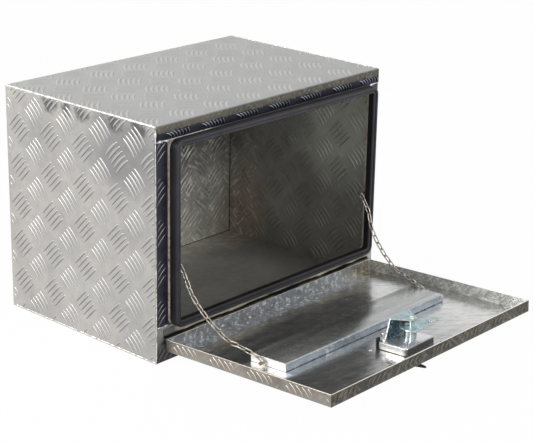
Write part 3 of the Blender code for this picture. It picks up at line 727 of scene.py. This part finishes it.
def door_floor(tree, tone, x, v, side_wall):
    """The tray's smooth side: streaked, paler to the right as a painted reflection, grey near the hinge with
    bright blots there as painted reflections, cream at the hinge's right end, a white painted reflection near
    the left wall, dark scuff marks, and bright strokes up its right wall as painted highlights."""
    sheet = colour_mix(tree, spread(tree, noise(tree, 60, 3, (0.12, 1, 1))), rgb(160, 160, 160),
                       rgb(192, 193, 194))
    # Paler to the right: a painted reflection.
    painted_reflection_right = ramp(tree, x, 0.05, 0.24, interpolation_type="SMOOTHSTEP")
    sheet = tint(tree, sheet, painted_reflection_right, colour_mix(tree, tone, rgb(190, 190, 188), rgb(236, 237, 234)))
    blots = ramp(tree, noise(tree, 120, 5), 0.52, 0.66)
    near_hinge = ramp(tree, plus(tree, v, times(tree, noise(tree, 22, 3), 0.05)), 0.12, 0.07)
    sheet = tint(tree, sheet, near_hinge, rgb(118, 120, 122), 0.45)
    # Bright blots near the hinge: painted reflections.
    sheet = tint(tree, sheet, times(tree, blots, near_hinge), rgb(236, 244, 252), 0.75)
    # A white painted reflection near the left wall.
    mirror = times(tree, band(tree, x, -0.262, -0.2305, 0.002), band(tree, v, 0.156, 0.256, 0.004))
    sheet = tint(tree, sheet, mirror, rgb(255, 255, 254))
    stain = patch(tree, tuple(door_point(0.285, 0.015, -0.015)), (0.06, 0.05, 0.03), 1.0, 40)
    cream = ramp(tree, noise(tree, 90, 5), 0.5, 0.62)
    sheet = tint(tree, sheet, stain, rgb(150, 140, 116), 0.45)
    sheet = tint(tree, sheet, times(tree, stain, cream), rgb(250, 240, 212), 0.8)
    sheet = tint(tree, sheet, scuffs_and_sheen(tree, 110, 0.5, 0.66), rgb(96, 97, 99), 0.35)
    sheet = tint(tree, sheet, side_wall, rgb(188, 188, 185), 0.6)
    # Bright strokes up the right wall: painted highlights.
    return tint(tree, sheet, scuffs_and_sheen(tree, 80, 0.42, 0.62), rgb(252, 252, 250), side_wall)


def door_plate():
    """The door's sheet: its smooth inside, its rim, white as a painted highlight, and the outside, in
    painted shade on the free edge, which faces the front.
    """
    made, tree = blank_material("door_plate")
    x, v, w = door_coordinates(tree)
    tone, roughness, height_map = milled(tree, 9, 22)
    below_rim = opposite(tree, step(tree, w, -0.0006))
    within = times(tree, band(tree, x, door_left + skin, door_right - skin),
                   band(tree, v, skin, door_length - skin))
    inner = times(tree, within, step(tree, w, skin - door_depth), below_rim)
    outer = colour_mix(tree, tone, rgb(118, 112, 104), rgb(164, 157, 147))
    outer = tint(tree, outer, scuffs_and_sheen(tree), rgb(214, 206, 192), 0.3)
    outer = tint(tree, outer, facing(tree, "Z", -1),
                 colour_mix(tree, tone, rgb(164, 163, 162), rgb(200, 198, 195)))
    # The free edge faces the front and is painted in shade.
    free_edge_painted_shade = colour_mix(tree, tone, rgb(56, 54, 50), rgb(88, 84, 77))
    free_edge_painted_shade = tint(tree, free_edge_painted_shade, scuffs_and_sheen(tree, 120, 0.48, 0.64), rgb(142, 136, 127), 0.45)
    walls = colour_mix(tree, facing_front(tree), outer, free_edge_painted_shade)
    # A white painted highlight along the rim.
    walls = colour_mix(tree, below_rim, rgb(240, 235, 226), walls)
    side_wall = step(tree, x, door_right - 2 * sheet_thick)
    colour = colour_mix(tree, inner, walls, door_floor(tree, tone, x, v, side_wall))
    rough = number_mix(tree, inner, spread(tree, roughness, 0.32, 0.45), spread(tree, roughness, 0.16, 0.28))
    metal = number_mix(tree, times(tree, side_wall, inner), 0.9, 0.4)
    finish_material(tree, colour, rough, height_map, bump=0.25, bump_reach=0.003, Metallic=metal)
    return made


dress("door_pan", door_plate(), 0.0005)
door_bars = bar_finish("door_bars", rgb(140, 133, 124), rgb(255, 250, 240), rgb(82, 76, 70), (0.5, 1.0),
                       (0.7, 0.8))
# The free edge's bars are painted dark as shade, like the edge.
door_front_shaded_finish = bar_finish("door_front_bars", rgb(74, 71, 64), rgb(118, 113, 102), rgb(50, 48, 44),
                               (0.7, 0.7), (0.6, 0.6))
door_face, door_side = (door_right - door_left, door_length), (door_length, door_depth)
lock_opening = (0.226, 0.27, 0.362, 0.378)
for name, finish, corner, right, up, size, first, holes in (
    ("door_face_bars", side_bars, door_point(door_left, 0, low_edge), along_x, along_v, door_face,
     (0.03, 0.03), (lock_opening,)),
    ("door_left_bars", door_bars, door_point(door_left, 0, low_edge), along_v, along_w, door_side,
     (0.004, 0.012 - group_pitch[1] / 2), ()),
    ("door_right_bars", door_bars, door_point(door_right, door_length, low_edge), -along_v, along_w,
     door_side, (0.02, 0.012), ()),
    ("door_front_bars", door_front_shaded_finish, door_point(door_left, door_length, low_edge), along_x, along_w,
     (door_face[0], door_depth), (0.035, 0.012), ()),
):
    tread_bars(name, "door", finish, corner, right, up, size, first, holes=holes)

# The pattern is pressed through on the right wall's inner side. The light along the wall that catches it is
# painted as a white highlight on the bars' upper flanks. Its bars are pale and close together there.
inner_wall_bars = bar_finish("door_inner_bars", rgb(205, 205, 202), rgb(255, 255, 255), rgb(150, 150, 148),
                             (1, 1), (0.2, 0.2), 0.5, 0.25)
tread_bars("door_inner_right_bars", "door", inner_wall_bars,
           door_point(door_right - sheet_thick, sheet_thick, floor_w), along_v, along_w,
           (door_length - 2 * sheet_thick, 0.0215), (0.02, 0.011), (0.045, 0.0775))

# Opening lip: plain bent sheet welded into the mouth, dull and brownish. The hinge leaves are thin plain
# strip, laid flat on the box and on the door.


def lip_sheet():
    """Brownish bare sheet, cream where it is rubbed, dark where the seal has marked it, and in painted shade
    under the hood.
    """
    made, tree = blank_material("lip_sheet")
    rub = noise(tree, 70, 5, (1, 1, 0.35))
    dark = ramp(tree, noise(tree, 110, 4), 0.5, 0.64)
    colour = colour_mix(tree, spread(tree, rub), rgb(204, 186, 160), rgb(255, 250, 240))
    colour = tint(tree, colour, dark, rgb(104, 92, 78), 0.35)
    place = split(tree)
    # Painted shade under the hood.
    painted_shade_under_hood = times(tree, step(tree, place["Z"], 0.4185), step(tree, place["X"], -0.17, 0.03))
    colour = tint(tree, colour, painted_shade_under_hood, rgb(48, 49, 60), 0.8)
    finish_material(tree, colour, spread(tree, rub, 0.4, 0.6), rub, bump=0.2, bump_reach=0.001, Metallic=0.0)
    return made


dress("opening_lip", lip_sheet(), 0.0003)


def leaf_on_door():
    made, tree = blank_material("leaf_sheet")
    tone, roughness, height_map = milled(tree, 18, 30, 420)
    colour = colour_mix(tree, facing_front(tree), colour_mix(tree, tone, rgb(56, 54, 50), rgb(96, 92, 84)),
                        colour_mix(tree, tone, rgb(40, 39, 38), rgb(110, 104, 94)))
    finish_material(tree, colour, spread(tree, roughness, 0.25, 0.38), height_map,
                    bump=0.2, bump_reach=0.002, Metallic=0.85)
    return made


dress("hinge_leaf_door", leaf_on_door(), 0.0002)


def leaf_on_box():
    """A worn cream band along the leaf's upper edge, and below it black painted shade for the gap down to
    the knuckles.
    """
    made, tree = blank_material("leaf_on_box")
    place = split(tree)
    _, roughness, height_map = milled(tree, 18, 30, 420)
    wear = noise(tree, 50, 4, (0.4, 1, 1))
    edge = plus(tree, place["Z"], times(tree, less(tree, wear, 0.5), 0.010))
    pale = colour_mix(tree, spread(tree, wear), rgb(110, 104, 92), rgb(226, 214, 190))
    pale = colour_mix(tree, step(tree, place["X"], -0.262, 0.006), rgb(112, 111, 106), pale)
    # Black painted shade below the worn band, for the gap down to the knuckles.
    colour = colour_mix(tree, step(tree, edge, 0.0525, 0.0012), rgb(16, 16, 17), pale)
    finish_material(tree, colour, spread(tree, roughness, 0.3, 0.5), height_map,
                    bump=0.2, bump_reach=0.002, Metallic=0.5)
    return made


dress("hinge_leaf_box", leaf_on_box(), 0.0002)

# Door seal: black rubber section pushed on the lip, with a soft sheen and faint stains. The
# stop strip on the door's floor and the gasket of the lock's dish are the same rubber.


def rubber(name, low, high, roughness):
    return stained(name, low, high, (26, 5), (roughness - 0.06, roughness + 0.1), 0.15, 0.0004, (900, 2),
                   **{"Specular IOR Level": 0.45})


seal_rubber = rubber("seal_rubber", rgb(8, 8, 12), rgb(24, 23, 29), 0.45)
for strip in ("lip_seal", "rubber_stop", "dish_gasket"):
    dress(strip, seal_rubber, 0.0005)
corner_slices, tube_sides = 6, 8


def round_corners(half, low, high, corner, y):
    """A closed rectangle with round corners in a plane of constant y."""
    points = []
    for x, z, start in ((half - corner, low + corner, -90), (half - corner, high - corner, 0),
                        (corner - half, high - corner, 90), (corner - half, low + corner, 180)):
        for i in range(corner_slices + 1):
            t = radians(start + 90 * i / corner_slices)
            points.append((x + corner * cos(t), y, z + corner * sin(t)))
    return points


def tube(name, body, finish, points, radius, flat):
    """A closed round strip through the points, all in one plane of constant y."""
    built = bmesh.new()
    places = [Vector(point) for point in points]
    out = Vector(to_front)
    rings = []
    for i, place in enumerate(places):
        side = (places[(i + 1) % len(places)] - places[i - 1]).normalized().cross(out)
        rings.append([built.verts.new(place + (side * cos(t) + out * sin(t) * flat) * radius)
                      for t in circle(tube_sides)])
    for a, b in zip(rings, rings[1:] + rings[:1]):
        for k in range(tube_sides):
            following = (k + 1) % tube_sides
            built.faces.new((a[k], b[k], b[following], a[following]))
    bmesh.ops.recalc_face_normals(built, faces=built.faces)
    new_piece(name, body, finish, built)


# The seal's face has two round ribs with a groove between them, moulded in one with the section and
# a little shinier than the rest. Their rubber is painted lighter and bluer, as a painted sheen on the ridges.
# Lighter, bluer rubber on the ribs: a painted sheen.
rib_rubber_sheen = rubber("rib_rubber_sheen", rgb(16, 16, 22), rgb(46, 47, 58), 0.32)
mouth_half, mouth_low, mouth_high, mouth_corner = 0.2805, 0.0700, 0.4215, 0.0155
for name, inset, y, radius in (("seal_rib_outer", 0.0018, -0.2289, 0.0016),
                               ("seal_rib_inner", 0.0084, -0.2273, 0.0020)):
    line = round_corners(mouth_half - inset, mouth_low + inset, mouth_high - inset, mouth_corner - inset, y)
    tube(name, "box", rib_rubber_sheen, line, radius, flat=0.22)

# Stiffening channel: bright plain sheet folded into a shallow box across the door, and the lock's dish,
# a pressed tray of the same sheet.


def channel_sheet():
    made, tree = blank_material("channel_sheet")
    w = door_coordinates(tree)[2]
    tone, roughness, height_map = milled(tree, 18, 8, 420)
    streaks = spread(tree, noise(tree, 70, 3, (0.1, 1, 1)))
    top = colour_mix(tree, streaks, rgb(148, 149, 149), rgb(180, 182, 182))
    front = colour_mix(tree, tone, rgb(166, 176, 186), rgb(204, 214, 224))
    spots = ramp(tree, noise(tree, 130, 4), 0.54, 0.66)
    spots = times(tree, spots, ramp(tree, noise(tree, 16, 2), 0.48, 0.6))
    front = tint(tree, front, spots, rgb(246, 252, 255))
    ends = colour_mix(tree, tone, rgb(250, 250, 248), rgb(255, 255, 254))
    colour = colour_mix(tree, facing_front(tree), top, front)
    end_share = facing(tree, "X", -1)
    colour = tint(tree, colour, end_share, ends)
    # Painted shadow along the front's foot, where it meets the floor.
    lifted = plus(tree, w, times(tree, noise(tree, 90, 2), 0.003))
    painted_contact_shadow = times(tree, facing_front(tree), opposite(tree, step(tree, lifted, -0.0192, 0.0006)))
    colour = tint(tree, colour, painted_contact_shadow, rgb(40, 42, 48), 0.75)
    metal = number_mix(tree, end_share, 0.95, 0.0)
    finish_material(tree, colour, spread(tree, roughness, 0.2, 0.32), height_map,
                    bump=0.1, bump_reach=0.002, Metallic=metal)
    return made


def dish_sheet():
    made, tree = blank_material("dish_sheet")
    tone, roughness, height_map = milled(tree, 18, 30, 420)
    colour = colour_mix(tree, tone, rgb(196, 196, 200), rgb(236, 236, 238))
    shaded = colour_mix(tree, tone, rgb(112, 110, 116), rgb(154, 151, 158))
    colour = tint(tree, colour, facing_front(tree), shaded)
    side = colour_mix(tree, tone, rgb(226, 224, 218), rgb(252, 250, 244))
    side = tint(tree, side, band(tree, door_coordinates(tree)[2], -0.0235, -0.0203), rgb(96, 92, 88))
    colour = tint(tree, colour, facing(tree, "X", -1), side)
    finish_material(tree, colour, spread(tree, roughness, 0.18, 0.3), height_map,
                    bump=0.15, bump_reach=0.002, Metallic=0.85)
    return made


dress("door_channel", channel_sheet(), 0.0004)
dress("lock_dish", dish_sheet(), 0.0004)

# Turning lock: cam plate, rod bracket, sleeve and nut of zinc-plated steel, bluish with darker stains. They
# sit on the spindle one above the other, clamped by the nut, and the bracket is bent into a bridge.
cam_low, roof_top = 0.0148, 0.031


def lock_zinc():
    """The same plating, as the bridge and the cam show it: flat faces grey green, side faces and the cam's
    and roof's edges white as painted highlights, the bridge's rear wall painted in the shade of its roof, and
    its front leg painted lighter, as lit."""
    made, tree = blank_material("lock_zinc")
    _, v, w = door_coordinates(tree)
    stain = noise(tree, 90, 4)
    cloudy = spread(tree, stain)
    fleck = ramp(tree, noise(tree, 260, 4), 0.56, 0.66)
    up = facing(tree, "Z", 1)
    flat = colour_mix(tree, cloudy, rgb(120, 150, 156), rgb(186, 206, 208))
    shade = colour_mix(tree, cloudy, rgb(34, 60, 68), rgb(100, 136, 144))
    shade = tint(tree, shade, fleck, rgb(214, 230, 232), 0.8)
    leg = colour_mix(tree, cloudy, rgb(104, 132, 140), rgb(226, 238, 240))
    # The front leg is painted lighter than the rear wall in painted shade, as lit.
    shade = tint(tree, shade, step(tree, v, 0.325), leg)
    # White painted highlights on the side faces, the cam's edge and the roof's edge.
    cam_edge_highlight = band(tree, w, cam_low - 0.0004, cam_low + 0.0029, 0.0002)
    edges = rgb(246, 248, 246)
    colour = colour_mix(tree, facing_front(tree), edges, shade)
    colour = tint(tree, colour, cam_edge_highlight, edges, step(tree, v, 0.3045))
    colour = tint(tree, colour, step(tree, up, 0.6, 0.1), flat)
    roof_edge_highlight = band(tree, w, roof_top - 0.0027, roof_top - 0.0002, 0.0003)
    colour = tint(tree, colour, roof_edge_highlight, edges, opposite(tree, up))
    finish_material(tree, colour, spread(tree, stain, 0.2, 0.4), noise(tree, 700, 2),
                    bump=0.08, bump_reach=0.0004, Metallic=0.8)
    return made


bridge_zinc = lock_zinc()
zinc = stained("zinc_plated", rgb(120, 158, 166), rgb(214, 226, 228), (55, 4), (0.16, 0.34), 0.08, 0.0004,
               (700, 2, (1, 0.2, 1)), Metallic=1.0)
for piece in ("latch_cam", "rod_bracket"):
    dress(piece, bridge_zinc, 0.0003)
for piece in ("spacer_sleeve", "spindle_nut"):
    dress(piece, zinc, 0.0004)

# Spindle, key cylinder, hinge pin, chain screws and chains: bright steel, the chains and the screws on
# the door slightly warm.


def plated_steel(name, low, high, roughness):
    return stained(name, low, high, (120, 3), (roughness - 0.06, roughness + 0.12), 0.1, 0.0003, Metallic=1.0)


steel = plated_steel("plated_steel", rgb(150, 148, 144), rgb(220, 218, 212), 0.25)
for piece in ("lock_spindle", "key_cylinder", "hinge_pin", "left_eye_screw", "right_eye_screw"):
    dress(piece, steel, 0.0003)
worn_steel = plated_steel("worn_steel", rgb(96, 78, 64), rgb(206, 190, 172), 0.35)
for piece in ("left_door_screw", "right_door_screw"):
    dress(piece, worn_steel, 0.0003)
chain_steel = plated_steel("chain_steel", rgb(128, 118, 108), rgb(214, 206, 194), 0.3)
for node in nodes:
    if "_link_" in node:
        dress(node, chain_steel, 0)

# Small fixings that show on the lock: four round bolt heads round the dish, and on the bridge, which they
# turn with, a bolt on its roof and a screw with its nut beside its left foot.


def turned(name, body, foot, axis, profile, sides=20):
    """A turned steel piece: radii and heights along its axis, closed at both ends."""
    axis = Vector(axis).normalized()
    side = axis.orthogonal().normalized()
    other = axis.cross(side)
    built = bmesh.new()
    skinned(built, [[built.verts.new(foot + axis * rise + (side * cos(t) + other * sin(t)) * radius)
                     for t in circle(sides)] for radius, rise in profile])
    item = new_piece(name, body, steel, built)
    item.data.polygons.foreach_set("use_smooth", [sides > 8] * len(item.data.polygons))


dome = ((0.0034, 0), (0.0034, 0.0005), (0.0031, 0.0011), (0.0022, 0.0016), (0.0009, 0.0019), (0.0001, 0.0020))
bolt_out, bolt_along = 0.0575, 0.0375
dish_x, dish_v = 0.0015, 0.324
for name, right, along in (("dish_bolt_1", -1, -1), ("dish_bolt_2", -1, 1), ("dish_bolt_3", 1, -1),
                           ("dish_bolt_4", 1, 1)):
    foot = door_point(dish_x + right * bolt_out, dish_v + along * bolt_along, floor_w)
    turned(name, "door", foot, along_w, dome)
turned("roof_bolt", "latch", door_point(0.012, 0.327, roof_top), along_w,
       ((0.0042, 0), (0.0042, 0.0026), (0.0036, 0.0032), (0.0001, 0.0034)), 6)
turned("foot_screw", "latch", door_point(-0.040, 0.3005, 0.0065), along_x,
       ((0.0036, 0), (0.0040, 0.0010), (0.0040, 0.0028), (0.0019, 0.0030), (0.0019, 0.0110)), 12)
turned("foot_nut", "latch", door_point(-0.0395, 0.3040, -0.0035), along_x,
       ((0.0034, 0), (0.0040, 0.0006), (0.0040, 0.0030), (0.0034, 0.0036)), 6)

# Folding T-handle: a casting in glossy black lacquer, with a slight orange peel. It hangs by a pin from the
# spindle, under the door.


def black_lacquer():
    made, tree = blank_material("black_lacquer")
    peel = noise(tree, 320, 2)
    colour = colour_mix(tree, spread(tree, noise(tree, 40)), rgb(14, 14, 15), rgb(34, 34, 35))
    finish_material(tree, colour, spread(tree, peel, 0.24, 0.36), peel, bump=0.1, bump_reach=0.0004)
    return made


dress("t_handle", black_lacquer(), 0.0006)
